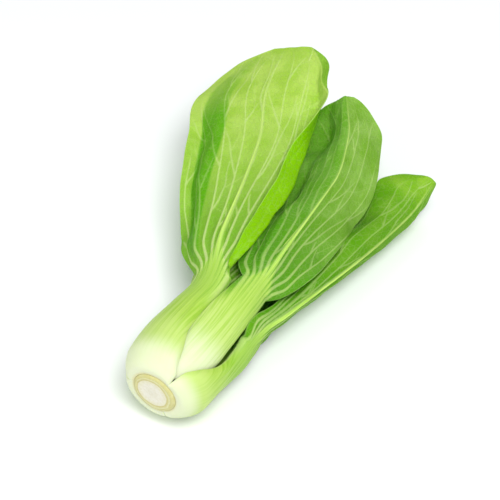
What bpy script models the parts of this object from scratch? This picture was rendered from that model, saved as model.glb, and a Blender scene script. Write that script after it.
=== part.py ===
"""A head of baby bok choy, cut at the root and lying on its side.

The head's axis runs along +Y, from the cut face to the leaf tips, and +Z is up. Leaves grow from
a short stump in three rings round a small heart. A leaf is one solid: a thick stalk, curved round
the head like a gutter, whose rib runs on through a thin blade.
The origin is the flat spot under the bulb on which the head rests.
"""

import math

import bpy
import numpy as np

MM = 0.001

# Driving dimensions, in millimetres. "Along" is the distance from the cut face along the head's axis.
AXIS_HEIGHT = 24.7
REST_ALONG = 27.0
STUMP = [(0, 9.4), (0.7, 10.1), (3.2, 10.1), (4.2, 8.8), (8.5, 8.4), (10, 6.6), (15, 4.8), (20, 2.4)]
BLADE_THICK = 0.8
RIM_THICK = 1.3

# Shapes shared by all leaves, as (place, value) stations that a smooth curve goes through.
# A stalk's thickness, from its foot to its neck, as a share of its thickest.
STALK_THICK = [(0, 0.40), (0.12, 0.60), (0.35, 1.0), (0.7, 0.92), (1, 0.78)]
# How far a blade reaches past its rib, from neck to tip, as shares of its left and right widths.
BLADE_WIDTH = [
    (0, 0, 0), (0.04, 0.16, 0.16), (0.12, 0.46, 0.46), (0.25, 0.74, 0.74), (0.42, 0.92, 0.92),
    (0.6, 1, 1), (0.76, 0.96, 0.96), (0.87, 0.82, 0.82), (0.95, 0.56, 0.56), (1, 0.14, 0.14),
]
# The rib in the blade, as a share of the stalk's half width and thickness at the neck.
RIB_WIDTH = [(0, 1), (0.12, 0.72), (0.35, 0.40), (0.7, 0.20), (1, 0.08)]
RIB_THICK = [(0, 1), (0.2, 0.72), (0.5, 0.40), (0.8, 0.16), (1, 0.0)]
# How much of the rib's thickness stands out of the blade's outer face.
RIB_PROUD = 0.45
# Side veins fan out from the neck: the share of the half width each follows, and its height.
VEINS = [(0.27, 0.7), (0.56, 0.5)]
VEIN_SPREAD = 0.05
# A stalk's section stays round the head's axis up to the first share of the stalk, and lies round the
# leaf's own midrib from the second. Its edges dip from the foot on, within this share of the stalk.
TURNS_FROM, TURNS_BY = 0.45, 0.95
DIPS_WITHIN = 0.25
# The share of the blade over which a stalk's dipped edges open out flat.
OPENS_WITHIN = 1 / 6

# Each leaf. angle: round the axis in degrees, 0 up and 90 to +X. path: the stalk's and midrib's
# outer line, as (along, radius from the axis, sideways lean). neck: the share of the length where
# the blade starts. wrap: how far the stalk reaches round the head to its left and right, in degrees,
# at shares of its own length. tuck: how far its edges dip inwards. thick: the stalk's thickness.
# blade: widest half widths to the left and right. cup: how far each half of the blade turns inwards
# by its margin, in degrees, at shares of the blade. twist: its turn about the midrib.
# folds: (side, share of the half width, spread, [(place in the blade, degrees)]).
# waves: (height, number, phase) of the ripples along the margins.
LEAVES = {
    "leaf_outer_left": dict(
        angle=-20, neck=0.30, thick=6.2, tuck=0.0, blade=(38, 33),
        wrap=[(0, 58, 57), (0.14, 58, 55), (0.2, 58, 48), (0.33, 57, 39), (0.48, 54, 29), (0.7, 42, 26),
              (1, 29, 27)],
        path=[(1, 10.5, 0), (0.8, 13.5, 0), (4.5, 18.2, 0), (12, 21.3, 0), (24, 22, 0), (42, 20.3, 0),
              (54, 19.2, 0.5), (86, 24.5, -6.5), (118, 28, -14), (148, 33.5, -20.5),
              (178, 41.5, -31.5), (210, 46.5, -37)],
        cup=[(0, 34, 25), (0.25, 14, 35), (0.57, -5, 35), (1, 11, 13)],
        twist=[(0, 0), (0.3, 1), (0.66, 20), (1, -6)],
        folds=[
            (-1, 0.48, 0.16, [(0, 0), (0.12, 40), (0.3, 60), (0.6, 55), (0.8, 20), (1, 0)]),
            (-1, 0.78, 0.08, [(0, 0), (0.12, -30), (0.3, -75), (0.6, -70), (0.8, -20), (1, 0)]),
            (1, 0.63, 0.12, [
                (0, -60), (0.06, -165), (0.45, -172), (0.6, -130), (0.74, -50), (0.9, 0), (1, 0),
            ]),
        ],
        outline=[
            (0, 0, 0), (0.04, 0.16, 0.16), (0.12, 0.46, 0.46), (0.25, 0.74, 0.74), (0.42, 0.92, 0.92),
            (0.6, 1, 1), (0.76, 0.99, 0.99), (0.87, 0.9, 0.9), (0.95, 0.7, 0.7), (1, 0.28, 0.28),
        ],
        waves=(1.2, 3.5, 0.1),
    ),
    "leaf_outer_right": dict(
        angle=100, neck=0.27, thick=5.8, tuck=0.0, blade=(27.5, 27),
        wrap=[(0, 60, 58), (0.21, 60, 55), (0.36, 48, 52), (0.48, 36, 48), (0.6, 30, 42), (0.72, 28, 36),
              (0.88, 27, 29), (1, 26, 26)],
        path=[(1, 10.5, 0), (0.8, 13.5, 0), (4.5, 18.3, 0), (12, 22, 0), (24, 22.5, 0),
              (40, 22.3, 0), (59, 22.8, -3), (74, 26.5, -3.5), (128, 39.5, -3),
              (163, 45.5, -2.5), (187, 47, -9)],
        cup=[(0, 2, 24), (0.1, -31, 28), (0.3, 28, 32), (0.57, 34, 32), (0.8, 42, 30), (1, 58, 26)],
        twist=[(0, 0), (0.27, -20), (0.66, -16), (1, -37)],
        folds=[
            (1, 0.05, 0.3, [(0, 0), (0.15, 35), (0.5, 55), (0.85, 45), (1, 20)]),
            (1, 0.5, 0.3, [(0, 0), (0.2, -40), (0.8, -40), (1, 0)]),
            (-1, 0.05, 0.5, [(0, -9), (0.12, 48), (0.3, 105), (0.6, 110), (0.85, 35), (1, 0)]),
        ],
        outline=[
            (0, 0, 0), (0.05, 0.16, 0.2), (0.12, 0.08, 0.46), (0.25, 0.22, 0.74), (0.42, 0.66, 0.92),
            (0.6, 0.96, 1), (0.76, 0.76, 0.96), (0.87, 0.88, 0.82), (0.95, 0.59, 0.56), (1, 0.19, 0.14),
        ],
        waves=(1.2, 3.5, 0.6),
    ),
    "leaf_outer_under": dict(
        angle=-145, neck=0.33, thick=5.6, tuck=0.0, blade=(23, 9),
        wrap=[(0, 55, 57), (0.15, 52, 54), (0.5, 46, 48), (0.75, 38, 38), (1, 26, 26)],
        path=[(1, 10.5, 0), (0.8, 13.5, 0), (4.5, 17.8, 0), (12, 21.5, 0), (20, 25, 0), (27, 25.5, 0),
              (33, 24.5, 0), (46, 23.5, 0), (60, 23, -1), (85, 23.5, -3), (120, 24, -3), (156, 24, -2)],
        cup=[(0, 26, 26), (0.3, 22, 30), (0.6, 18, 26), (1, 8, 8)],
        twist=[(0, 0), (0.33, -8), (0.6, -22), (1, -26)],
        folds=[], waves=(0.8, 3.0, 0.3),
    ),
    "leaf_middle_top": dict(
        angle=45, neck=0.35, thick=5.0, tuck=5.0, blade=(33, 30),
        wrap=[(0, 43, 38), (0.2, 42, 34), (0.4, 41, 33), (0.5, 39, 30), (0.65, 35, 27), (0.85, 27, 25),
              (1, 22, 24)],
        path=[(5.2, 10.6, 0), (5, 13, 0), (7.5, 15.5, 0), (14, 18.5, 0), (26, 20.5, 0),
              (42, 21.5, 0), (66, 22, -0.5), (90, 23, -2.5), (140, 26, -5.5),
              (164, 27, -14), (185, 24, -27.5)],
        cup=[(0, 27, 5), (0.12, 29, -31), (0.25, 30, -24), (0.57, 29, 8), (1, 25, 1)],
        twist=[(0, 0), (0.35, 1), (0.67, 5), (1, -5)],
        folds=[
            (-1, 0.0, 0.14, [(0, 0), (0.3, 20), (0.5, 74), (0.7, 80), (0.85, 102), (1, 76)]),
            (-1, 0.3, 0.12, [(0, 0), (0.08, 55), (0.2, 70), (0.35, 66), (0.5, 20), (0.8, 0), (1, 0)]),
            (-1, 0.5, 0.16, [(0, 0), (0.08, -35), (0.3, -55), (0.6, -50), (0.85, -50), (1, -30)]),
        ],
        outline=[
            (0, 0, 0), (0.04, 0.16, 0.16), (0.12, 0.40, 0.36), (0.25, 0.64, 0.53), (0.42, 0.86, 0.66),
            (0.6, 1, 0.78), (0.76, 1, 0.73), (0.87, 0.95, 0.75), (0.95, 0.8, 0.49), (1, 0.45, 0.19),
        ],
        waves=(1.0, 3.5, 0.5),
    ),
    "leaf_middle_left": dict(
        angle=-84, neck=0.34, thick=4.2, tuck=2.5, blade=(23, 14),
        wrap=[(0, 44, 46), (0.3, 42, 46), (0.6, 38, 42), (0.85, 28, 30), (1, 22, 24)],
        path=[(5.2, 10.6, 0), (5, 13, 0), (7.5, 15.2, 0), (15, 17, 0), (30, 18, 0), (50, 17.5, 0),
              (80, 22, -1), (120, 33, -4), (160, 42, -6)],
        cup=[(0, 24, 24), (0.25, 26, 40), (0.57, 12, 35), (1, 5, 10)],
        folds=[],
        outline=[
            (0, 0, 0), (0.12, 0.08, 0.46), (0.25, 0.34, 0.74), (0.42, 0.7, 0.92), (0.6, 0.95, 1),
            (0.76, 1, 0.96), (0.87, 0.84, 0.82), (0.95, 0.56, 0.56), (1, 0.14, 0.14),
        ],
        waves=(1.0, 3.0, 0.2),
    ),
    "leaf_middle_under": dict(
        angle=163, neck=0.35, thick=4.2, tuck=2.5, blade=(12, 12),
        wrap=[(0, 46, 46), (0.3, 52, 46), (0.6, 56, 42), (0.85, 42, 30), (1, 30, 24)],
        path=[(5.2, 10.6, 0), (5, 13, 0), (7.5, 14.6, 0), (15, 16.4, 0), (30, 17.5, 0), (50, 17, 0),
              (80, 17, 0), (120, 17.5, 0), (146, 18.5, 0)],
        cup=[(0, 24, 24), (0.25, 40, 40), (0.57, 30, 30), (1, 10, 10)],
        folds=[], waves=(0.8, 3.0, 0.8),
    ),
    "leaf_inner_top": dict(
        angle=-20, neck=0.36, thick=3.2, tuck=1.5, blade=(9, 9),
        wrap=[(0, 42, 42), (0.3, 42, 42), (0.6, 38, 38), (1, 26, 26)],
        path=[(10.5, 9.6, 0), (13, 11.2, 0), (22, 12.5, 0), (35, 13, 0), (52, 12.5, 0), (70, 12, 0),
              (95, 11, 0), (116, 11.5, 0)],
        cup=[(0, 26, 26), (0.25, 55, 55), (0.57, 50, 50), (1, 10, 10)],
        folds=[], waves=(0.8, 3.0, 0.4),
    ),
    "leaf_inner_right": dict(
        angle=92, neck=0.36, thick=3.2, tuck=1.5, blade=(9, 9),
        wrap=[(0, 42, 42), (0.3, 42, 42), (0.6, 38, 38), (1, 26, 26)],
        path=[(10.5, 9.6, 0), (13, 11.2, 0), (22, 12.5, 0), (35, 13, 0), (52, 12.5, 0), (70, 12, 0),
              (105, 12, 0), (132, 13, 0)],
        cup=[(0, 26, 26), (0.25, 55, 55), (0.57, 50, 50), (1, 10, 10)],
        folds=[], waves=(0.8, 3.0, 0.9),
    ),
    "leaf_inner_left": dict(
        angle=-140, neck=0.36, thick=3.2, tuck=1.5, blade=(9, 9),
        wrap=[(0, 42, 42), (0.3, 42, 42), (0.6, 38, 38), (1, 26, 26)],
        path=[(10.5, 9.6, 0), (13, 11.2, 0), (22, 12.5, 0), (35, 13, 0), (52, 12.5, 0), (70, 12, 0),
              (105, 12, 0), (126, 13, 0)],
        cup=[(0, 26, 26), (0.25, 55, 55), (0.57, 50, 50), (1, 10, 10)],
        folds=[], waves=(0.8, 3.0, 0.6),
    ),
}

# The heart: small leaves at these angles, fused round a core that is turned round the axis.
HEART_ANGLES = [38, 158, -82]
HEART_LEAF = dict(
    neck=0.42, thick=2.2, tuck=0.6, blade=(5, 5),
    wrap=[(0, 55, 55), (0.4, 52, 52), (1, 45, 45)],
    path=[(24, 2.2, 0), (30, 4.8, 0), (42, 6.6, 0), (60, 7.0, 0), (80, 7.2, 0), (104, 7.8, 0)],
    cup=[(0, 45, 45), (0.3, 65, 65), (0.6, 60, 60), (1, 10, 10)],
    folds=[], waves=(0.4, 2.0, 0.3),
)
HEART_CORE = [(22.5, 1.6), (24, 2.9), (28, 3.9), (33, 3.0), (35, 1.2)]

# How finely each leaf is divided: rows in the stalk and in the blade, and even columns a side.
DIVISIONS = {
    "leaf_outer_left": (13, 17, 6), "leaf_outer_right": (13, 15, 6), "leaf_middle_top": (12, 15, 6),
}
OUTER_DIVISIONS, INNER_DIVISIONS = (11, 11, 4), (9, 8, 3)


def through(stations, at):
    """Values at places at on a smooth curve through (place, value) stations that never overshoots them."""
    x, y = np.array(stations, float).T
    steps = np.diff(x)
    slopes = np.diff(y) / steps
    tangents = np.concatenate([slopes[:1], np.zeros(len(x) - 2), slopes[-1:]])
    for k in range(1, len(x) - 1):
        before, after = slopes[k - 1], slopes[k]
        if before * after > 0:
            tangents[k] = 2 * before * after / (before + after)
    k = np.clip(np.searchsorted(x, at) - 1, 0, len(x) - 2)
    t = np.clip((at - x[k]) / steps[k], 0, 1)
    rise = y[k + 1] - y[k]
    start, end = tangents[k] * steps[k], tangents[k + 1] * steps[k]
    return y[k] + start * t + (3 * rise - 2 * start - end) * t**2 + (start + end - 2 * rise) * t**3


def smooth_step(t):
    t = np.clip(t, 0, 1)
    return t * t * (3 - 2 * t)


def midrib_line(leaf, share):
    """The outer middle line at shares of its length: places, outward and sideways directions, in mm."""
    angle = math.radians(leaf["angle"])
    radial = np.array([math.sin(angle), 0, math.cos(angle)])
    sideways = np.array([math.cos(angle), 0, -math.sin(angle)])
    knots = np.array([
        np.array([0, along, 0]) + radius * radial + lean * sideways
        for along, radius, lean in leaf["path"]
    ])
    chord = np.concatenate([[0], np.cumsum(np.linalg.norm(np.diff(knots, axis=0), axis=1))])
    dense = np.linspace(0, chord[-1], 600)
    line = np.stack([through(list(zip(chord, knots[:, axis])), dense) for axis in range(3)], axis=1)
    run = np.concatenate([[0], np.cumsum(np.linalg.norm(np.diff(line, axis=0), axis=1))])
    tangents = np.gradient(line, run, axis=0)
    place = np.stack([np.interp(share * run[-1], run, line[:, axis]) for axis in range(3)], axis=1)
    tangent = np.stack([np.interp(share * run[-1], run, tangents[:, axis]) for axis in range(3)], axis=1)
    tangent /= np.linalg.norm(tangent, axis=1)[:, None]
    across = np.cross(tangent, radial - [0, 0.001, 0])
    across *= np.sign(across @ sideways)[:, None]
    across /= np.linalg.norm(across, axis=1)[:, None]
    outward = np.cross(across, tangent)
    if "twist" in leaf:
        turn = np.radians(through(leaf["twist"], share))[:, None]
        outward, across = (
            outward * np.cos(turn) + across * np.sin(turn),
            across * np.cos(turn) - outward * np.sin(turn),
        )
    return place, outward, across


def leaf_sheet(leaf, share, reach):
    """A leaf's outer face and its thickness, at shares of its length (rows) and of its half width, from
    -1 at the left margin to 1 at the right (columns), in mm in the head's own frame."""
    neck = leaf["neck"]
    in_stalk = np.clip(share / neck, 0, 1)
    in_blade = np.clip((share - neck) / (1 - neck), 0, 1)
    rib_thick = leaf["thick"] * through(STALK_THICK, in_stalk) * through(RIB_THICK, in_blade)
    place, outward, across = midrib_line(leaf, share)
    radius = np.hypot(place[:, 0], place[:, 2])
    neck_radius = np.interp(neck, share, radius)
    outline = leaf.get("outline", BLADE_WIDTH)
    points = np.zeros((len(share), len(reach), 3))
    thick = np.zeros((len(share), len(reach)))
    fine = np.linspace(0, 1, 201)
    opening = smooth_step(in_blade / OPENS_WITHIN)
    turned = smooth_step((in_stalk - TURNS_FROM) / (TURNS_BY - TURNS_FROM))
    dipping = smooth_step(in_stalk / DIPS_WITHIN)
    height, number, phase = leaf["waves"]
    for side, which in ((-1, 0), (1, 1)):
        columns = np.nonzero(reach * side >= 0)[0]
        out = np.abs(reach[columns])
        wrap = np.radians(through([(s[0], s[1 + which]) for s in leaf["wrap"]], in_stalk))
        rib = np.where(in_blade > 0, neck_radius, radius) * wrap * through(RIB_WIDTH, in_blade)
        half = rib + leaf["blade"][which] * through([(s[0], s[1 + which]) for s in outline], in_blade)
        cup = np.radians(through([(s[0], s[1 + which]) for s in leaf["cup"]], in_blade))
        cup = np.where(in_blade > 0, cup, wrap)
        turning = cup[:, None] * fine
        for fold_side, start, spread, angles in leaf["folds"]:
            if fold_side == side:
                amount = np.radians(through(angles, in_blade)) * (in_blade > 0)
                turning = turning + amount[:, None] * smooth_step((fine - start) / spread)
        run_out = np.cumsum((np.cos(turning[:, 1:]) + np.cos(turning[:, :-1])) / 2, axis=1) * fine[1]
        fall = np.cumsum((np.sin(turning[:, 1:]) + np.sin(turning[:, :-1])) / 2, axis=1) * fine[1]
        run_out = np.hstack([np.zeros((len(share), 1)), run_out])
        fall = np.hstack([np.zeros((len(share), 1)), fall])
        vein = sum(tall * np.clip(1 - np.abs(out - at) / VEIN_SPREAD, 0, 1) for at, tall in VEINS)
        for row in range(len(share)):
            near_rib = np.clip(1 - (out * half[row] / rib[row]) ** 2, 0, 1)
            tuck = leaf["tuck"] * out**2 * (1 - opening[row]) * dipping[row]
            turn = side * out * wrap[row]
            x, y, z = place[row]
            shrink = 1 - tuck / radius[row]
            round_axis = np.stack([
                (x * np.cos(turn) + z * np.sin(turn)) * shrink,
                y + 0 * turn,
                (z * np.cos(turn) - x * np.sin(turn)) * shrink,
            ], axis=1)
            ripple = height * out**2 * math.sin(2 * math.pi * (number * in_blade[row] + phase + side / 4))
            raised = RIB_PROUD * rib_thick[row] * near_rib + ripple
            raised = opening[row] * (raised + vein * (1 - near_rib) * (1 - in_blade[row]) ** 0.5)
            bend = np.interp(out, fine, turning[row])
            sideways = half[row] * np.interp(out, fine, run_out[row]) + raised * np.sin(bend)
            lift = raised * np.cos(bend) - half[row] * np.interp(out, fine, fall[row]) - tuck
            section = place[row] + side * sideways[:, None] * across[row] + lift[:, None] * outward[row]
            points[row, columns] = round_axis + (section - round_axis) * turned[row]
            rim = RIM_THICK + (BLADE_THICK - RIM_THICK) * opening[row]
            thick[row, columns] = rim + max(rib_thick[row] - rim, 0) * near_rib**0.8
    points[..., 2] = np.maximum(points[..., 2], -AXIS_HEIGHT)
    return points, thick


def in_world(points):
    """Head frame in mm to the part's frame in metres: the axis lifted, and the rest spot at the origin."""
    return (np.asarray(points, float) + [0, -REST_ALONG, AXIS_HEIGHT]) * MM


def material(name, colour, roughness):
    made = bpy.data.materials.new(name)
    made.use_nodes = True
    shader = made.node_tree.nodes["Principled BSDF"]
    shader.inputs["Base Color"].default_value = (*colour, 1)
    shader.inputs["Roughness"].default_value = roughness
    shader.inputs["Metallic"].default_value = 0
    return made


def marks(leaf, side, columns):
    """Shares of the half width where columns run: even ones, the veins and the folds."""
    wanted = [0, 1]
    if columns > 3:
        for at, _ in VEINS:
            wanted += [at - VEIN_SPREAD, at, at + VEIN_SPREAD]
    for fold_side, start, spread, _ in leaf["folds"]:
        if fold_side == side:
            wanted = [w for w in wanted if not start - 0.03 < w < start + spread + 0.03]
            wanted += [start + spread * part for part in (0, 0.35, 0.65, 1)]
    for even in np.arange(1, columns) / columns:
        if min(abs(even - w) for w in wanted) > 0.06:
            wanted.append(even)
    return [side * w for w in sorted(wanted)]


def leaf_object(name, leaf, head, materials):
    """A leaf as its outer face, thickened inwards."""
    inner = "inner" in name or "heart" in name
    rows_stalk, rows_blade, columns = DIVISIONS.get(name, INNER_DIVISIONS if inner else OUTER_DIVISIONS)
    neck = leaf["neck"]
    stalk_rows = neck * np.linspace(0, 1, rows_stalk + 1) ** 1.4
    blade_rows = neck + (1 - neck) * np.sin(np.linspace(0, math.pi / 2, rows_blade + 1)[1:]) ** 0.9
    share = np.concatenate([stalk_rows, blade_rows])
    reach = np.array(marks(leaf, -1, columns)[:0:-1] + marks(leaf, 1, columns))
    points, thick = leaf_sheet(leaf, share, reach)
    wide = len(reach)
    corners = np.arange(len(share) * wide).reshape(len(share), wide)
    faces = np.stack([corners[:-1, :-1], corners[:-1, 1:], corners[1:, 1:], corners[1:, :-1]], axis=-1)
    mesh = bpy.data.meshes.new(name)
    mesh.from_pydata(in_world(points.reshape(-1, 3)).tolist(), [], faces.reshape(-1, 4).tolist())
    for paint in materials:
        mesh.materials.append(paint)
    for face in mesh.polygons:
        face.material_index = int(face.index // (wide - 1) >= rows_stalk)
    mesh.shade_smooth()
    made = bpy.data.objects.new(name, mesh)
    head.objects.link(made)
    thickest = float(thick.max())
    group = made.vertex_groups.new(name="thickness")
    for index, value in enumerate(thick.ravel()):
        group.add([index], float(value) / thickest, "REPLACE")
    split = made.modifiers.new("same split on both faces", "TRIANGULATE")
    split.quad_method = "FIXED"
    shell = made.modifiers.new("thickness", "SOLIDIFY")
    shell.thickness = thickest * MM
    shell.offset = -1
    shell.vertex_group = group.name
    return made


def turned_object(name, outline, head, paint):
    """A solid turned round the head's axis from (along, radius) stations."""
    mesh = bpy.data.meshes.new(name)
    profile = [(outline[0][0], 0)] + outline + [(outline[-1][0], 0)]
    points = [(radius * MM, (along - REST_ALONG) * MM, 0) for along, radius in profile]
    mesh.from_pydata(points, [(k, k + 1) for k in range(len(profile) - 1)], [])
    mesh.materials.append(paint)
    made = bpy.data.objects.new(name, mesh)
    made.location = (0, 0, AXIS_HEIGHT * MM)
    head.objects.link(made)
    turn = made.modifiers.new("turned", "SCREW")
    turn.axis = "Y"
    turn.steps = turn.render_steps = 32
    turn.use_merge_vertices = True
    turn.merge_threshold = 0.00001
    turn.use_normal_calculate = True
    return made


def heart_object(head, paints):
    """The youngest leaves and their core, fused into one."""
    heart = turned_object("heart", HEART_CORE, head, paints[0])
    leaves = bpy.data.collections.new("heart_leaves")
    bpy.context.scene.collection.children.link(leaves)
    for angle in HEART_ANGLES:
        leaf_object(f"heart_leaf_{angle}", dict(HEART_LEAF, angle=angle), leaves, paints)
    union = heart.modifiers.new("fused", "BOOLEAN")
    union.operation = "UNION"
    union.solver = "MANIFOLD"
    union.operand_type = "COLLECTION"
    union.collection = leaves
    bpy.context.view_layer.update()
    seen = bpy.context.evaluated_depsgraph_get()
    fused = bpy.data.meshes.new_from_object(heart.evaluated_get(seen))
    heart.modifiers.clear()
    heart.data = fused
    for made in list(leaves.objects):
        bpy.data.objects.remove(made)
    bpy.data.collections.remove(leaves)
    return heart


def main():
    for old in list(bpy.data.objects):
        bpy.data.objects.remove(old)
    head = bpy.data.collections.new("bok_choy")
    bpy.context.scene.collection.children.link(head)
    stalk = material("stalk", (0.72, 0.86, 0.45), 0.45)
    blade = material("blade", (0.28, 0.55, 0.10), 0.5)
    cut = material("cut_stem", (0.85, 0.82, 0.68), 0.6)
    turned_object("stump", STUMP, head, cut)
    for name, leaf in LEAVES.items():
        leaf_object(name, leaf, head, [stalk, blade])
    heart_object(head, [stalk, blade])


main()
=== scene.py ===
"""The looks of a head of baby bok choy: leaves with ribs and branching veins, waxy stalks and a cut stump.

The leaves repeat the CAD's leaf dimensions, with small changes to leaf_outer_left, leaf_outer_right and
leaf_middle_top. They are in millimetres, in the head's own frame: "along" is the distance from the cut face
along the head's axis. Here they are worked out again on a fine grid, with raised veins.
"""

import math

import bpy
import numpy as np
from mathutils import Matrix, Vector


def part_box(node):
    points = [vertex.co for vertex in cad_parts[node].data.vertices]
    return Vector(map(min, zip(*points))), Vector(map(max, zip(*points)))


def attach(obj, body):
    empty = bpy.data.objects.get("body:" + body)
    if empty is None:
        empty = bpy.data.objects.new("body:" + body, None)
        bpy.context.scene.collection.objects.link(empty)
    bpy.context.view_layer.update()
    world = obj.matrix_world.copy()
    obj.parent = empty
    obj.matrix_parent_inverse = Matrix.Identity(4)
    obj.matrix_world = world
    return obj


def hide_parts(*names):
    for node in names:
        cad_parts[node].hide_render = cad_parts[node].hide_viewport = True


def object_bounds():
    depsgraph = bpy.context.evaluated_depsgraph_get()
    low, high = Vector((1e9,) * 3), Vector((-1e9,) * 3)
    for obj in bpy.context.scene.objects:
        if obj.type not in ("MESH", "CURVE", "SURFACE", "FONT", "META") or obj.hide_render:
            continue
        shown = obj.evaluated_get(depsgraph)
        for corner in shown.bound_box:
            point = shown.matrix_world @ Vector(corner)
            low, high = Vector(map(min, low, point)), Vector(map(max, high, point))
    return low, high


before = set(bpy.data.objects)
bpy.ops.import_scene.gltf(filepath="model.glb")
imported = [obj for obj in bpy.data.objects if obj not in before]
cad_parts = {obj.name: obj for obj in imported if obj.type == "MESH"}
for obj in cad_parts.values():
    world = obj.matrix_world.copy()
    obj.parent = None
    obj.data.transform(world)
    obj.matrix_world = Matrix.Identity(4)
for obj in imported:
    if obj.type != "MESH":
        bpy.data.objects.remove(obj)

CAD_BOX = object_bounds()
MM = 0.001
STUMP_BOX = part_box("stump")
# The head's axis: its height above the table, and how far the cut face lies behind the origin.
AXIS_HEIGHT = (STUMP_BOX[0][2] + STUMP_BOX[1][2]) / 2 / MM
REST_ALONG = -STUMP_BOX[0][1] / MM

# The stump's outline, as (along, radius). As far as FEET_WITHIN it is GROWN_ON thicker than the solid, and
# meets the leaves' feet.
STUMP = [(0, 9.4), (0.7, 10.1), (3.2, 10.1), (4.2, 8.8), (8.5, 8.4), (10, 6.6), (15, 4.8), (20, 2.4)]
GROWN_ON, FEET_WITHIN = 0.6, 4
# The middle of the pale flesh on the cut face, off the head's axis.
FLESH_CENTRE = (-0.7, 0, 0.1)
# Rings of points on a turned piece's face, and on its side.
FACE_RINGS, SIDE_RINGS = 26, 60
BLADE_THICK, RIM_THICK = 0.5, 0.7

# Shapes shared by all leaves, as (place, value) stations that a smooth curve goes through.
# A stalk's thickness, from its foot to its neck, as a share of its thickest.
STALK_THICK = [(0, 0.4), (0.12, 0.6), (0.35, 1), (0.7, 0.92), (1, 0.78)]
# How far a blade reaches past its rib, from neck to tip, as shares of its left and right widths.
BLADE_WIDTH = [
    (0, 0, 0), (0.04, 0.16, 0.16), (0.12, 0.46, 0.46), (0.25, 0.74, 0.74), (0.42, 0.92, 0.92),
    (0.6, 1, 1), (0.76, 0.96, 0.96), (0.87, 0.82, 0.82), (0.95, 0.56, 0.56), (1, 0.14, 0.14),
]
# The rib in the blade, as a share of the stalk's half width and thickness at the neck.
RIB_WIDTH = [(0, 1), (0.12, 0.72), (0.35, 0.4), (0.7, 0.2), (1, 0.08)]
RIB_THICK = [(0, 1), (0.2, 0.72), (0.5, 0.4), (0.8, 0.16), (1, 0)]
# How much of the rib's thickness stands out of the blade's outer face.
RIB_PROUD = 0.45
# A stalk's section stays round the head's axis up to the first share of the stalk, and lies round the
# leaf's own midrib from the second. Its edges dip from the foot on, within this share of the stalk.
TURNS_FROM, TURNS_BY = 0.45, 0.95
DIPS_WITHIN = 0.25
# The share of the blade over which a stalk's dipped edges open out flat.
OPENS_WITHIN = 1 / 6

FINE_GRID, PLAIN_GRID, INNER_GRID, HEART_GRID = (361, 96), (151, 37), (111, 24), (91, 18)
PLAIN_BUMPS = 0.14


def inner_leaf(angle, path_end, phase):
    """A young leaf of the inner ring. The three differ only in these."""
    return dict(
        angle=angle, neck=0.36, thick=3.2, tuck=1.5, blade=(9, 9),
        wrap=[(0, 42, 42), (0.3, 42, 42), (0.6, 38, 38), (1, 26, 26)],
        path=[(10.5, 9.6), (13, 11.2), (22, 12.5), (35, 13), (52, 12.5), (70, 12), *path_end],
        cup=[(0, 26, 26), (0.25, 55, 55), (0.57, 50, 50), (1, 10, 10)],
        waves=(0.8, 3, phase), grid=INNER_GRID,
    )


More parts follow.
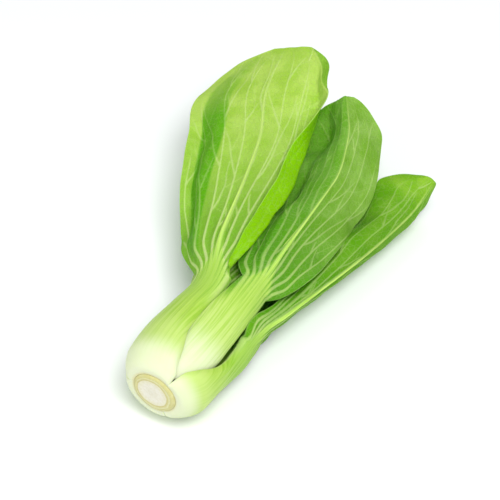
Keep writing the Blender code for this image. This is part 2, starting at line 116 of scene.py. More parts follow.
# Each leaf. angle: round the axis in degrees, 0 up and 90 to +X. path: the stalk's and midrib's outer line,
# as (along, radius from the axis, and its lean sideways, if any). neck: the share of the length where the
# blade starts. wrap: how far the stalk reaches round the head to its left and right, in degrees, at shares of
# its own length. tuck: how far its edges dip inwards. thick: its thickness. blade: widest half widths to the
# left and right. cup: how far each half of the blade turns inwards by its margin, in degrees, at shares of
# the blade. twist: its turn about the midrib. folds: (side, share of the half width, spread, [(place in the
# blade, degrees)]). waves: (height, number, phase) of the ripples along the margins.
# Only here, not in the CAD: reach: how much further an outer leaf's foot reaches on its left and right to
# meet the next, in degrees. press: how far its stalk's edges press in on the stalks beneath. bumps: how high
# each wave in the blade's skin is. grid: rows, and columns a side. greens: the outer face where it is
# lightest and deepest, and the inner face. shades: how early the stalk turns green, how clearly its veins
# show, how deep the painted shade in the folds is, and how much painted shade darkens the left half.
LEAVES = {
    "leaf_outer_left": dict(
        angle=-20, neck=0.3, thick=6.2, blade=(38, 33), reach=(6, 4), press=(0.6, 3), bumps=0.2,
        greens=((212, 240, 120), (190, 228, 88), (160, 228, 0)), shades=(1, 0.9, 0.9, 0), grid=FINE_GRID,
        wrap=[(0, 58, 57), (0.14, 58, 55), (0.2, 58, 48), (0.33, 57, 39), (0.48, 54, 29), (0.7, 42, 26),
              (1, 29, 27)],
        path=[(1, 10.5), (0.8, 13.5), (4.5, 18.2), (12, 21.3), (24, 22), (42, 20.3), (54, 19.2, 0.5),
              (86, 24.5, -6.5), (118, 28, -14), (148, 33.5, -20.5), (178, 41.5, -31.5), (210, 46.5, -37)],
        cup=[(0, 34, 25), (0.25, 14, 35), (0.57, -5, 35), (1, 11, 13)],
        twist=[(0, 0), (0.3, 1), (0.66, 20), (1, -6)],
        folds=[
            (-1, 0.48, 0.16, [(0, 0), (0.12, 40), (0.3, 60), (0.6, 55), (0.8, 20), (1, 0)]),
            (-1, 0.78, 0.08, [(0, 0), (0.12, -30), (0.3, -75), (0.6, -70), (0.8, -20), (1, 0)]),
            (1, 0.63, 0.12, [
                (0, -60), (0.06, -165), (0.45, -172), (0.6, -135), (0.74, -85), (0.88, -60), (1, -20),
            ]),
        ],
        outline=[
            *BLADE_WIDTH[:5], (0.6, 1, 1.02), (0.76, 0.99, 1.12), (0.87, 0.9, 1.04), (0.95, 0.7, 0.8),
            (1, 0.28, 0.3),
        ],
        waves=(1.2, 3.5, 0.1),
    ),
    "leaf_outer_right": dict(
        angle=100, neck=0.27, thick=5.8, blade=(27.5, 27), reach=(4, 1.5), press=(2.8, 0.6),
        bumps=0.4, greens=((184, 230, 74), (152, 214, 38), (126, 200, 0)), shades=(1.3, 0.75, 0.6, 0),
        grid=FINE_GRID,
        wrap=[(0, 60, 58), (0.21, 60, 55), (0.36, 48, 52), (0.48, 34, 48), (0.6, 23, 42), (0.72, 17, 36),
              (0.88, 15, 29), (1, 17, 26)],
        path=[(1, 10.5), (0.8, 13.5), (4.5, 18.3), (12, 22), (24, 22.5), (40, 22.3), (59, 22.8, -3),
              (74, 26.5, -3.5), (128, 39.5, -3), (163, 45.5, -2.5), (187, 47, -9)],
        cup=[(0, 2, 24), (0.1, -31, 28), (0.3, 28, 32), (0.57, 34, 32), (0.8, 42, 30), (1, 58, 26)],
        twist=[(0, 0), (0.27, -20), (0.66, -16), (1, -37)],
        folds=[
            (1, 0.05, 0.3, [(0, 0), (0.15, 35), (0.5, 55), (0.85, 45), (1, 20)]),
            (1, 0.5, 0.3, [(0, 0), (0.2, -40), (0.8, -40), (1, 0)]),
            (-1, 0.05, 0.5, [(0, -9), (0.12, 48), (0.3, 105), (0.6, 99), (0.85, 35), (1, 0)]),
        ],
        outline=[
            (0, 0, 0), (0.05, 0.16, 0.2), (0.12, 0.08, 0.46), (0.25, 0.22, 0.74), (0.42, 0.66, 0.92),
            (0.6, 0.96, 1), (0.76, 0.76, 0.96), (0.87, 0.88, 0.82), (0.95, 0.59, 0.56), (1, 0.19, 0.14),
        ],
        waves=(1.2, 3.5, 0.6),
    ),
    "leaf_outer_under": dict(
        angle=-145, neck=0.33, thick=5.6, blade=(23, 9), reach=(1.5, 6), press=(0.6, 0.6),
        wrap=[(0, 55, 57), (0.15, 52, 54), (0.5, 46, 48), (0.75, 38, 38), (1, 26, 26)],
        path=[(1, 10.5), (0.8, 13.5), (4.5, 17.8), (12, 21.5), (20, 25), (27, 25.5), (33, 24.5), (46, 23.5),
              (60, 23, -1), (85, 23.5, -3), (120, 24, -3), (156, 24, -2)],
        cup=[(0, 26, 26), (0.3, 22, 30), (0.6, 18, 26), (1, 8, 8)],
        twist=[(0, 0), (0.33, -8), (0.6, -22), (1, -26)],
        waves=(0.8, 3, 0.3),
    ),
    "leaf_middle_top": dict(
        angle=45, neck=0.35, thick=5, tuck=5, blade=(33, 30), bumps=0.26, grid=FINE_GRID,
        greens=((168, 214, 98), (140, 195, 58), (124, 204, 0)), shades=(0.68, 0.5, 0.34, 0.16),
        wrap=[(0, 43, 38), (0.2, 42, 34), (0.4, 41, 33), (0.5, 39, 30), (0.65, 35, 27), (0.85, 27, 25),
              (1, 22, 24)],
        path=[(5.2, 10.6), (5, 13), (7.5, 15.5), (14, 18.5), (26, 20.5), (42, 21.5), (66, 22, -0.5),
              (90, 23, -2.5), (140, 26, -5.5), (164, 27, -14), (185, 24, -27.5)],
        cup=[(0, 27, 5), (0.12, 29, -31), (0.25, 30, -24), (0.57, 29, 8), (1, 25, 1)],
        twist=[(0, 0), (0.35, 1), (0.67, 5), (1, -5)],
        folds=[
            (-1, 0, 0.14, [(0, 0), (0.3, 20), (0.5, 74), (0.7, 80), (0.85, 102), (1, 76)]),
            (-1, 0.3, 0.12, [(0, 0), (0.08, 55), (0.2, 70), (0.35, 66), (0.5, 20), (0.8, 0), (1, 0)]),
            (-1, 0.5, 0.16, [(0, 0), (0.08, -35), (0.3, -55), (0.6, -50), (0.85, -50), (1, -30)]),
        ],
        outline=[
            (0, 0, 0), (0.04, 0.16, 0.16), (0.12, 0.4, 0.36), (0.25, 0.64, 0.53), (0.42, 0.86, 0.66),
            (0.6, 1.1, 0.78), (0.76, 1.1, 0.73), (0.87, 0.98, 0.75), (0.95, 0.8, 0.49), (1, 0.45, 0.19),
        ],
        waves=(1, 3.5, 0.5),
    ),
    "leaf_middle_left": dict(
        angle=-84, neck=0.34, thick=4.2, tuck=2.5, blade=(23, 14),
        wrap=[(0, 44, 46), (0.3, 42, 46), (0.6, 38, 42), (0.85, 28, 30), (1, 22, 24)],
        path=[(5.2, 10.6), (5, 13), (7.5, 15.2), (15, 17), (30, 18), (50, 17.5), (80, 22, -1), (120, 33, -4),
              (160, 42, -6)],
        cup=[(0, 24, 24), (0.25, 26, 40), (0.57, 12, 35), (1, 5, 10)],
        folds=[],
        outline=[
            (0, 0, 0), (0.12, 0.08, 0.46), (0.25, 0.34, 0.74), (0.42, 0.7, 0.92), (0.6, 0.95, 1),
            (0.76, 1, 0.96), (0.87, 0.84, 0.82), *BLADE_WIDTH[8:],
        ],
        waves=(1, 3, 0.2),
    ),
    "leaf_middle_under": dict(
        angle=163, neck=0.35, thick=4.2, tuck=2.5, blade=(12, 12),
        wrap=[(0, 46, 46), (0.3, 52, 46), (0.6, 56, 42), (0.85, 42, 30), (1, 30, 24)],
        path=[(5.2, 10.6), (5, 13), (7.5, 14.6), (15, 16.4), (30, 17.5), (50, 17), (80, 17), (120, 17.5),
              (146, 18.5)],
        cup=[(0, 24, 24), (0.25, 40, 40), (0.57, 30, 30), (1, 10, 10)],
        waves=(0.8, 3, 0.8),
    ),
    "leaf_inner_top": inner_leaf(-20, [(95, 11), (116, 11.5)], 0.4),
    "leaf_inner_right": inner_leaf(92, [(105, 12), (132, 13)], 0.9),
    "leaf_inner_left": inner_leaf(-140, [(105, 12), (126, 13)], 0.6),
}

# The heart: small leaves at these angles, in one piece with a core that is turned round the axis.
HEART_ANGLES = [38, 158, -82]
HEART_LEAF = dict(
    neck=0.42, thick=2.2, tuck=0.6, blade=(5, 5),
    wrap=[(0, 55, 55), (0.4, 52, 52), (1, 45, 45)],
    path=[(24, 2.2), (30, 4.8), (42, 6.6), (60, 7), (80, 7.2), (104, 7.8)],
    cup=[(0, 45, 45), (0.3, 65, 65), (0.6, 60, 60), (1, 10, 10)],
    waves=(0.4, 2, 0.3), grid=HEART_GRID,
)
HEART_CORE = [(22.5, 1.6), (24, 2.9), (28, 3.9), (33, 3), (35, 1.2)]

# Fan veins of a blade, on each side: where each leaves the stalk, as a share of the stalk's half width; where
# it runs at a quarter and at two thirds of its way, and where it ends, as shares of the blade's half width;
# and how far up the blade it ends.
FAN_VEINS = [
    (0.18, 0.12, 0.22, 0.3, 0.99), (0.38, 0.3, 0.45, 0.6, 0.95), (0.6, 0.52, 0.7, 0.86, 0.8),
    (0.84, 0.78, 0.9, 0.96, 0.52),
]
# They and the midrib start this share of the stalk below the neck. The midrib ends this far from the tip.
FAN_START, SHORT_OF_TIP = 0.45, 3
MIDRIB_POINTS, FAN_POINTS = 90, 80
# Veins by order, the midrib first: half width and height in mm, how strongly each shows, the spacing of its
# branches in mm, and the angle at which they leave it in degrees and their greatest length in mm.
VEIN_ORDERS = [
    (0.95, 0.55, 1, 36, 17, 80), (0.85, 0.45, 1, 33, 22, 60), (0.44, 0.34, 0.72, 20, 38, 22),
    (0.28, 0.16, 0.32, 0, 0, 0),
]
# By what chance may change a fan vein's place, the first and the next spacing, and the angle.
FAN_SWING, FIRST_SWING, NEXT_SWING, ANGLE_SWING = (0.93, 1.07), (0.4, 0.9), (0.7, 1.3), (0.8, 1.25)
# Veins branch above this share of the blade.
BRANCH_FROM = 0.1
# A growing vein's step in mm, and in each step how much it turns back towards the tip and how far it may
# stray, in radians. It ends this near a margin, or this near another vein after so many steps.
VEIN_STEP, BEND_BACK, STRAY = 1.5, 0.045, 0.09
CLEAR_OF_MARGIN, JOINS_WITHIN, JOINS_AFTER = 0.8, 1.1, 3
# The blade swells under its main veins: half width and height in mm.
SWELL_WIDTH, SWELL_HEIGHT = 3, 0.8
# A stalk's share of its leaf's rows.
STALK_ROWS = 0.26
# The rib as it shows in the blade: slimmer than the thickening round it.
RIB_SLIM = [(0, 0.9), (0.04, 0.55), (0.1, 0.27), (0.19, 0.13), (0.3, 0.07), (0.6, 0.04), (1, 0.02)]
# The shares of the stalk over which the reach ends and the press sets in.
REACH_WITHIN, PRESS_WITHIN = 0.25, 0.07
TUCK_KEPT = 0.55
# The lengths and slants of the waves in a blade's skin.
SKIN_WAVES = [(2.9, 0.7), (4.1, -0.9), (6.3, 1.3)]
# Flutes along the stalks: how many and how high in mm, and how many more there are across a stalk.
FLUTES, FLUTE_SPREAD = [(7, 0.09), (11, 0.07), (17, 0.05), (23, 0.03)], 1.6
# How a leaf's rows crowd towards its foot and its tip, and its columns towards a margin.
FOOT_CROWD, TIP_CROWD = 1.25, 0.92
MARGIN_COLUMNS = [0.955, 0.97, 0.98, 0.988, 0.994, 0.998, 1]
# Within these gaps, margins and ends are rounded, down to this share of the thickness, squared.
MARGIN_ROUND, END_ROUND, LEAST_THICK = 0.45, 0.4, 0.02
# Points on the curves for a path, and for an outline or a section.
PATH_POINTS, EVEN_POINTS = 600, 401
# A blade's outline is smoothed over this share of its length, and its tip is rounded off over the last
# TIP_ROUND of it, down to TIP_LEFT of its width.
OUTLINE_SOFT, TIP_ROUND, TIP_LEFT = 0.03, 0.012, 0.6
# Painted shade in the folds starts this much nearer the midrib than each bend, as a share of the half
# width, with a border this wide. It is full where a bend turns this many degrees, and fades within this
# share of the blade towards the neck.
FOLD_EARLY, FOLD_BORDER, FOLD_FULL, FOLD_FADES = 0.05, 0.05, 45, 0.16

# Lights: place and size in metres, and power in watts.
LIGHTS = {"key": ((0.45, -0.3, 1), 0.6, 12.2), "fill": ((-0.7, -0.6, 0.6), 0.8, 2.5)}
LIGHTS_AIM = (0, 0.07, 0.03)
SKY_COLOUR, SKY_STRENGTH = (0.96, 0.98, 1, 1), 0.5
TABLE_REACH = 3
# The camera looks down on the lying head. Angles in degrees, places in metres, lens and sensor in mm.
VIEW_AZIMUTH, VIEW_ELEVATION = 30, 45
VIEW_AT, VIEW_DISTANCE = (0.0144, 0.0331, 0.0696), 0.7
VIEW_LENS, VIEW_SENSOR = 114.5, 36


def through(stations, at):
    """Values at places at on a smooth curve through (place, value) stations that never overshoots them."""
    x, y = np.array(stations, float).T
    steps = np.diff(x)
    slopes = np.diff(y) / steps
    tangents = np.concatenate([slopes[:1], np.zeros(len(x) - 2), slopes[-1:]])
    for k in range(1, len(x) - 1):
        before, after = slopes[k - 1], slopes[k]
        if before * after > 0:
            tangents[k] = 2 * before * after / (before + after)
    k = np.clip(np.searchsorted(x, at) - 1, 0, len(x) - 2)
    t = np.clip((at - x[k]) / steps[k], 0, 1)
    rise = y[k + 1] - y[k]
    start, end = tangents[k] * steps[k], tangents[k + 1] * steps[k]
    return y[k] + start * t + (3 * rise - 2 * start - end) * t**2 + (start + end - 2 * rise) * t**3


def ease(t):
    t = np.clip(t, 0, 1)
    return t * t * (3 - 2 * t)


def run_along(line):
    """How far along a line each of its points is."""
    return np.concatenate([[0], np.cumsum(np.linalg.norm(np.diff(line, axis=0), axis=1))])


def midrib_line(leaf, share):
    """The outer middle line at shares of its length: places, the ways outwards and across, and its length."""
    angle = math.radians(leaf["angle"])
    radial = np.array([math.sin(angle), 0, math.cos(angle)])
    sideways = np.array([math.cos(angle), 0, -math.sin(angle)])
    knots = np.array([
        np.array([0, along, 0]) + radius * radial + sum(lean) * sideways
        for along, radius, *lean in leaf["path"]
    ])
    chord = run_along(knots)
    dense = np.linspace(0, chord[-1], PATH_POINTS)
    line = np.stack([through(list(zip(chord, knots[:, axis])), dense) for axis in range(3)], axis=1)
    run = run_along(line)
    tangents = np.gradient(line, run, axis=0)
    place = np.stack([np.interp(share * run[-1], run, line[:, axis]) for axis in range(3)], axis=1)
    tangent = np.stack([np.interp(share * run[-1], run, tangents[:, axis]) for axis in range(3)], axis=1)
    tangent /= np.linalg.norm(tangent, axis=1)[:, None]
    # The nudge settles which way is across where the line runs straight out of the axis.
    across = np.cross(tangent, radial - [0, 0.001, 0])
    across *= np.sign(across @ sideways)[:, None]
    across /= np.linalg.norm(across, axis=1)[:, None]
    outward = np.cross(across, tangent)
    if "twist" in leaf:
        turn = np.radians(through(leaf["twist"], share))[:, None]
        outward, across = (
            outward * np.cos(turn) + across * np.sin(turn),
            across * np.cos(turn) - outward * np.sin(turn),
        )
    return place, outward, across, run[-1]


def sampled(values, out):
    """Rows of values, given at even steps of the half width, at the shares out of it."""
    at = out * (values.shape[1] - 1)
    low = np.minimum(at.astype(int), values.shape[1] - 2)
    return values[:, low] * (1 + low - at) + values[:, low + 1] * (at - low)


def summed(values):
    """The running integral of rows of values over the half width."""
    total = np.cumsum((values[:, 1:] + values[:, :-1]) / 2, axis=1) / (values.shape[1] - 1)
    return np.hstack([np.zeros((len(values), 1)), total])


class Leaf:
    """A leaf on a grid: rows along it, and columns across it from -1 at its left margin to 1 at its right."""

    def __init__(self, leaf, seed):
        self.leaf = leaf
        rows, columns = leaf.get("grid", PLAIN_GRID)
        foot_reach = leaf.get("reach", (0, 0))
        self.random = np.random.RandomState(seed)
        neck = leaf["neck"]
        stalk_rows = int(rows * STALK_ROWS)
        self.share = np.concatenate([
            neck * np.linspace(0, 1, stalk_rows) ** FOOT_CROWD,
            neck + (1 - neck) * np.sin(np.linspace(0, math.pi / 2, rows - stalk_rows + 1)[1:]) ** TIP_CROWD,
        ])
        half = np.concatenate([np.linspace(0, 0.94, columns), MARGIN_COLUMNS])
        self.reach = np.concatenate([-half[:0:-1], half])
        self.in_stalk = np.clip(self.share / neck, 0, 1)
        self.in_blade = np.clip((self.share - neck) / (1 - neck), 0, 1)
        self.place, self.outward, self.across, self.length = midrib_line(leaf, self.share)
        self.radius = np.hypot(self.place[:, 0], self.place[:, 2])
        self.along = self.share * self.length
        self.wrap, self.rib_half, self.half = {}, {}, {}
        past = np.clip((self.in_blade - 1) / TIP_ROUND + 1, 0, 1)
        self.tip_round = TIP_LEFT + (1 - TIP_LEFT) * np.sqrt(1 - past**2)
        neck_radius = np.interp(neck, self.share, self.radius)
        base = np.where(self.in_blade > 0, neck_radius, self.radius)
        outline = leaf.get("outline", BLADE_WIDTH)
        for side, which in ((-1, 0), (1, 1)):
            wrap = through([(s[0], s[1 + which]) for s in leaf["wrap"]], self.in_stalk)
            wrap = np.radians(wrap + foot_reach[which] * (1 - ease(self.in_stalk / REACH_WITHIN)))
            blade = leaf["blade"][which] * self.softened([(s[0], s[1 + which]) for s in outline])
            self.wrap[side] = wrap
            self.half[side] = (base * wrap * through(RIB_WIDTH, self.in_blade) + blade) * self.tip_round
            self.rib_half[side] = base * wrap * through(RIB_SLIM, self.in_blade)
        self.build()

    def softened(self, outline):
        """The blade's outline at each row, with no corners in it past the first third."""
        even = np.linspace(0, 1, EVEN_POINTS)
        window = np.hanning(2 * int(OUTLINE_SOFT * (EVEN_POINTS - 1)) + 1)
        padded = np.pad(through(outline, even), len(window) // 2, mode="reflect", reflect_type="odd")
        soft = np.interp(self.in_blade, even, np.convolve(padded, window / window.sum(), "valid"))
        sharp = through(outline, self.in_blade)
        return sharp + (soft - sharp) * ease((self.in_blade - 0.35) / 0.2)

    def turning(self, side, fine):
        """How far the skin has turned inwards, in radians, from the midrib (0) to the margin (fine 1)."""
        cup = np.radians(through([(s[0], s[1 + (side + 1) // 2]) for s in self.leaf["cup"]], self.in_blade))
        turning = np.where(self.in_blade > 0, cup, self.wrap[side])[:, None] * fine
        for fold_side, start, spread, angles in self.leaf.get("folds", []):
            if fold_side == side:
                amount = np.radians(through(angles, self.in_blade)) * (self.in_blade > 0)
                turning = turning + amount[:, None] * ease((fine - start) / spread)
        return turning

    def fold_shade_share(self, side, out):
        """How strongly the painted shade in the folds shows at the shares out of the half width: from 0 to 1.
        """
        share = 0
        for fold_side, start, spread, angles in self.leaf.get("folds", []):
            if fold_side == side:
                amount = through(angles, self.in_blade)[:, None] / FOLD_FULL
                border = start - FOLD_EARLY if angles[2][1] > 0 else start + spread - FOLD_BORDER
                share = share + amount * ease((out - border) / FOLD_BORDER)
        return np.clip(share, 0, 1) * ease(self.in_blade[:, None] / FOLD_FADES)

    def half_at(self, side, along):
        return np.interp(along, self.along, self.half[side])

    def fan_veins(self):
        """The midrib and the veins that fan out of the stalk, as lines of (sideways, along) in mm."""
        neck = self.leaf["neck"] * self.length
        along = np.linspace(neck * (1 - FAN_START), self.length - SHORT_OF_TIP, MIDRIB_POINTS)
        lines = [(0, np.stack([np.zeros(MIDRIB_POINTS), along], axis=1))]
        at = np.linspace(-FAN_START, 1, FAN_POINTS)
        for side in (-1, 1):
            for foot, quarter, two_thirds, end, end_at in FAN_VEINS:
                swing = self.random.uniform(*FAN_SWING, 3)
                shares = through([
                    (-FAN_START, foot), (0, foot), (0.25, quarter * swing[0]), (0.62, two_thirds * swing[1]),
                    (1, end * swing[2]),
                ], at)
                along = neck + at * np.where(at > 0, (self.length - neck) * end_at, neck)
                half = self.half_at(side, along)
                early = ease(at / 0.14)
                stalk_part = foot * np.minimum(self.half_at(side, neck), half)
                sideways = stalk_part * (1 - early) + np.minimum(shares, 0.97) * half * early
                lines.append((1, np.stack([side * sideways, along], axis=1)))
        return lines

    def veins(self):
        """All veins: the fan, and side veins that grow from it until they near the margin or another vein."""
        neck = self.leaf["neck"] * self.length
        lines = self.fan_veins()
        taken = [line for _, line in lines]
        frontier = list(lines)
        while frontier:
            order, line = frontier.pop(0)
            _, _, _, spacing, leaving, longest = VEIN_ORDERS[order]
            if not spacing:
                continue
            run = run_along(line)
            hand = self.random.choice([-1, 1])
            start = spacing * self.random.uniform(*FIRST_SWING)
            while start < run[-1] - 2:
                x, y = (np.interp(start, run, line[:, axis]) for axis in (0, 1))
                ahead = min(start + 1, run[-1])
                dx, dy = (np.interp(ahead, run, line[:, axis]) - value for axis, value in ((0, x), (1, y)))
                start += spacing * self.random.uniform(*NEXT_SWING)
                hand = -hand
                if y < neck + BRANCH_FROM * (self.length - neck):
                    continue
                angle = math.radians(leaving * self.random.uniform(*ANGLE_SWING))
                grown = self.grow(x, y, math.atan2(dx, dy) + hand * angle, np.concatenate(taken), longest)
                if len(grown) > 3:
                    child = (max(order + 1, 2), grown)
                    taken.append(grown)
                    lines.append(child)
                    frontier.append(child)
        return lines

    def grow(self, x, y, heading, taken, longest):
        """A line that starts at (x, y), bends towards the tip, and ends by a margin or another vein."""
        points = [(x, y)]
        for step in range(int(longest / VEIN_STEP)):
            heading += -BEND_BACK * math.sin(heading) + self.random.uniform(-STRAY, STRAY)
            x += VEIN_STEP * math.sin(heading)
            y += VEIN_STEP * math.cos(heading)
            side = 1 if x > 0 else -1
            if y > self.length - 1 or abs(x) > self.half_at(side, y) - CLEAR_OF_MARGIN:
                break
            near = np.min(np.hypot(taken[:, 0] - x, taken[:, 1] - y))
            points.append((x, y))
            if step > JOINS_AFTER and near < JOINS_WITHIN:
                break
        return np.array(points)

    def vein_field(self):
        """How far the veins stand up in mm, and how strongly they show, at each place of the grid."""
        self.sideways = np.zeros((len(self.share), len(self.reach)))
        for side in (-1, 1):
            columns = self.reach * side >= 0
            self.sideways[:, columns] = self.half[side][:, None] * self.reach[columns]
        x, y = self.sideways.ravel(), np.repeat(self.along, len(self.reach))
        height, shows, swell = (np.zeros(len(x)) for _ in range(3))
        for order, line in self.veins():
            width, tall, strength = VEIN_ORDERS[order][:3]
            around = 2 * SWELL_WIDTH if order < 2 else 3 * width
            low, high = line.min(axis=0) - around, line.max(axis=0) + around
            near = np.nonzero((x > low[0]) & (x < high[0]) & (y > low[1]) & (y < high[1]))[0]
            if not len(near):
                continue
            best = np.full(len(near), 99.0)
            done = np.zeros(len(near))
            for k in range(len(line) - 1):
                leg = line[k + 1] - line[k]
                from_x, from_y = x[near] - line[k, 0], y[near] - line[k, 1]
                t = np.clip((from_x * leg[0] + from_y * leg[1]) / (leg @ leg + 1e-9), 0, 1)
                gap = np.hypot(from_x - t * leg[0], from_y - t * leg[1])
                closer = gap < best
                best = np.where(closer, gap, best)
                done = np.where(closer, (k + t) / (len(line) - 1), done)
            # A vein ends slimmer than it starts, and a fan vein starts broad. It fades in its last eighth.
            slim = 1.5 - 1.05 * ease(done * 1.4) if order == 1 else 1 - 0.5 * done
            fade = ease((1.02 - done) * 8)
            ridge = tall * slim * fade * np.exp(-((best / (width * slim)) ** 2))
            height[near] = np.maximum(height[near], ridge)
            crisp = ease(1.6 - best / (width * slim * (0.7 if order == 1 else 1)))
            shows[near] = np.maximum(shows[near], strength * (1 - 0.35 * done) * fade * crisp)
            if order < 2:
                hump = SWELL_HEIGHT * slim * fade * np.exp(-((best / SWELL_WIDTH) ** 2))
                swell[near] = np.maximum(swell[near], hump)
        shape = self.sideways.shape
        # Where the blade does not swell under a main vein: the mask for painted shade in the hollows.
        self.hollow = 1 - np.clip(swell / SWELL_HEIGHT, 0, 1).reshape(shape)
        return (height + swell).reshape(shape), shows.reshape(shape)

    def build(self):
        leaf, reach = self.leaf, self.reach
        in_stalk, in_blade = self.in_stalk[:, None], self.in_blade[:, None]
        rib_thick = leaf["thick"] * through(STALK_THICK, self.in_stalk)
        rib_thick = (rib_thick * through(RIB_THICK, self.in_blade))[:, None]
        vein, self.shows = self.vein_field()
        self.points = np.zeros((len(self.share), len(reach), 3))
        self.thick, self.rib, self.edge, self.fold = (np.zeros_like(vein) for _ in range(4))
        fine = np.linspace(0, 1, EVEN_POINTS)
        opening = ease(in_blade / OPENS_WITHIN)
        turned = ease((in_stalk - TURNS_FROM) / (TURNS_BY - TURNS_FROM))
        dipping = ease(in_stalk / DIPS_WITHIN)
        pressing = ease(in_stalk / PRESS_WITHIN)
        # Flutes set in up the stalk and are gone by a third of the blade.
        fluted = ease(in_stalk * 1.6 - 0.25) * (1 - ease(in_blade * 3))
        height, number, phase = leaf["waves"]
        edge_press, bumps = leaf.get("press", (0, 0)), leaf.get("bumps", PLAIN_BUMPS)
        starts = self.random.uniform(0, 2 * math.pi, (2, 4))
        rim = RIM_THICK + (BLADE_THICK - RIM_THICK) * opening
        for side, which in ((-1, 0), (1, 1)):
            columns = np.nonzero(reach * side >= 0)[0]
            out = np.abs(reach[columns])
            wrap, rib, half = (widths[side][:, None] for widths in (self.wrap, self.rib_half, self.half))
            turning = self.turning(side, fine)
            near_rib = np.clip(1 - (out * half / rib) ** 2, 0, 1)
            dip = TUCK_KEPT * leaf.get("tuck", 0) * out**2 * dipping
            tuck = (dip + edge_press[which] * out**8 * pressing) * (1 - opening)
            turn = side * out * wrap
            flute = fluted * sum(
                tall * np.cos(count * FLUTE_SPREAD * out * side + start)
                for (count, tall), start in zip(FLUTES, starts[0])
            )
            x, y, z = (self.place[:, axis, None] for axis in range(3))
            shrink = (1 - tuck / self.radius[:, None]) * (1 + flute / self.radius[:, None] * (1 - opening))
            round_axis = np.stack([
                (x * np.cos(turn) + z * np.sin(turn)) * shrink,
                y + 0 * turn,
                (z * np.cos(turn) - x * np.sin(turn)) * shrink,
            ], axis=-1)
            ripple = height * out**2 * np.sin(2 * math.pi * (number * in_blade + phase + side / 4))
            small = sum(
                bumps * np.sin(self.along[:, None] / size + out * half / size * slant + start)
                for (size, slant), start in zip(SKIN_WAVES, starts[1])
            )
            raised = RIB_PROUD * rib_thick * near_rib + ripple + flute + small * (1 - near_rib) * out
            raised = opening * raised + vein[:, columns] * (0.25 + 0.75 * opening)
            bend = sampled(turning, out)
            sideways = half * sampled(summed(np.cos(turning)), out) + raised * np.sin(bend)
            lift = raised * np.cos(bend) - half * sampled(summed(np.sin(turning)), out) - tuck
            section = self.place[:, None] + side * sideways[..., None] * self.across[:, None]
            section = section + lift[..., None] * self.outward[:, None]
            self.points[:, columns] = round_axis + (section - round_axis) * turned[..., None]
            self.thick[:, columns] = rim + np.maximum(rib_thick - rim, 0) * near_rib**0.8
            self.rib[:, columns] = near_rib
            self.edge[:, columns] = half * (1 - out)
            self.fold[:, columns] = self.fold_shade_share(side, out)
        self.points[..., 2] = np.maximum(self.points[..., 2], -AXIS_HEIGHT)


def in_world(points):
    """Head frame in mm to the frame's metres: the axis lifted, and the rest spot at the origin."""
    return (np.asarray(points, float) + [0, -REST_ALONG, AXIS_HEIGHT]) * MM


def normals(points):
    """Unit normals of a grid of points, pointing out of the leaf's outer face."""
    out = np.cross(np.gradient(points, axis=1), np.gradient(points, axis=0))
    return out / (np.linalg.norm(out, axis=2, keepdims=True) + 1e-12)


def quads_of(grid):
    return np.stack([grid[:-1, :-1], grid[:-1, 1:], grid[1:, 1:], grid[1:, :-1]], axis=-1).reshape(-1, 4)


def border(grid):
    return np.concatenate([grid[0, :-1], grid[:-1, -1], grid[-1, :0:-1], grid[:0:-1, 0]])


def leaf_arrays(made):
    """Vertices, faces and attributes of a closed leaf: a fine outer face, an inner face with every other
    row and column, and a rounded rim between them."""
    out = normals(made.points)
    half_thick = made.thick / 2
    # The margin is rounded: both faces close on the middle of the leaf's thickness.
    round_by = np.minimum(half_thick, MARGIN_ROUND)
    closing = np.sqrt(np.clip(1 - (1 - np.clip(made.edge / round_by, 0, 1)) ** 2, LEAST_THICK, 1))
    ends = np.minimum(made.along, made.along[-1] - made.along)[:, None]
    closing = closing * np.sqrt(np.clip(1 - (1 - np.clip(ends / END_ROUND, 0, 1)) ** 2, LEAST_THICK, 1))
    middle = made.points - out * half_thick[..., None]
    lift = out * (half_thick * closing)[..., None]
    faces_of_leaf = [middle + lift, (middle - lift)[::2, ::2]]
    vertices = in_world(np.concatenate([face.reshape(-1, 3) for face in faces_of_leaf]))
    # No leaf reaches out of the head's own box, nor into the table.
    vertices = np.clip(vertices, [*CAD_BOX[0][:2], 0], CAD_BOX[1])
    outer = np.arange(made.thick.size).reshape(made.thick.shape)
    inner = outer.size + np.arange(outer[::2, ::2].size).reshape(outer[::2, ::2].shape)
    rim, inner_rim = border(outer), border(inner)
    start, middle_of, end = rim[::2], rim[1::2], np.roll(rim[::2], -1)
    inner_end = np.roll(inner_rim, -1)
    rim_quads = np.stack([middle_of, start, inner_rim, inner_end], axis=-1)
    quads = np.concatenate([quads_of(outer), quads_of(inner)[:, ::-1], rim_quads])
    triangles = np.stack([end, middle_of, inner_end], axis=-1)
    fields = {
        "blade": made.in_blade[:, None] + 0 * made.thick, "stalk": made.in_stalk[:, None] + 0 * made.thick,
        "along": made.along[:, None] + 0 * made.thick, "sideways": made.sideways, "vein": made.shows,
        "rib": made.rib, "margin": made.edge, "fold": made.fold, "hollow": made.hollow,
    }
    attributes = {
        label: np.concatenate([values.ravel(), values[::2, ::2].ravel()]) for label, values in fields.items()
    }
    attributes["inner_face"] = np.concatenate([np.zeros(outer.size), np.ones(inner.size)])
    return vertices, [quads, triangles], attributes


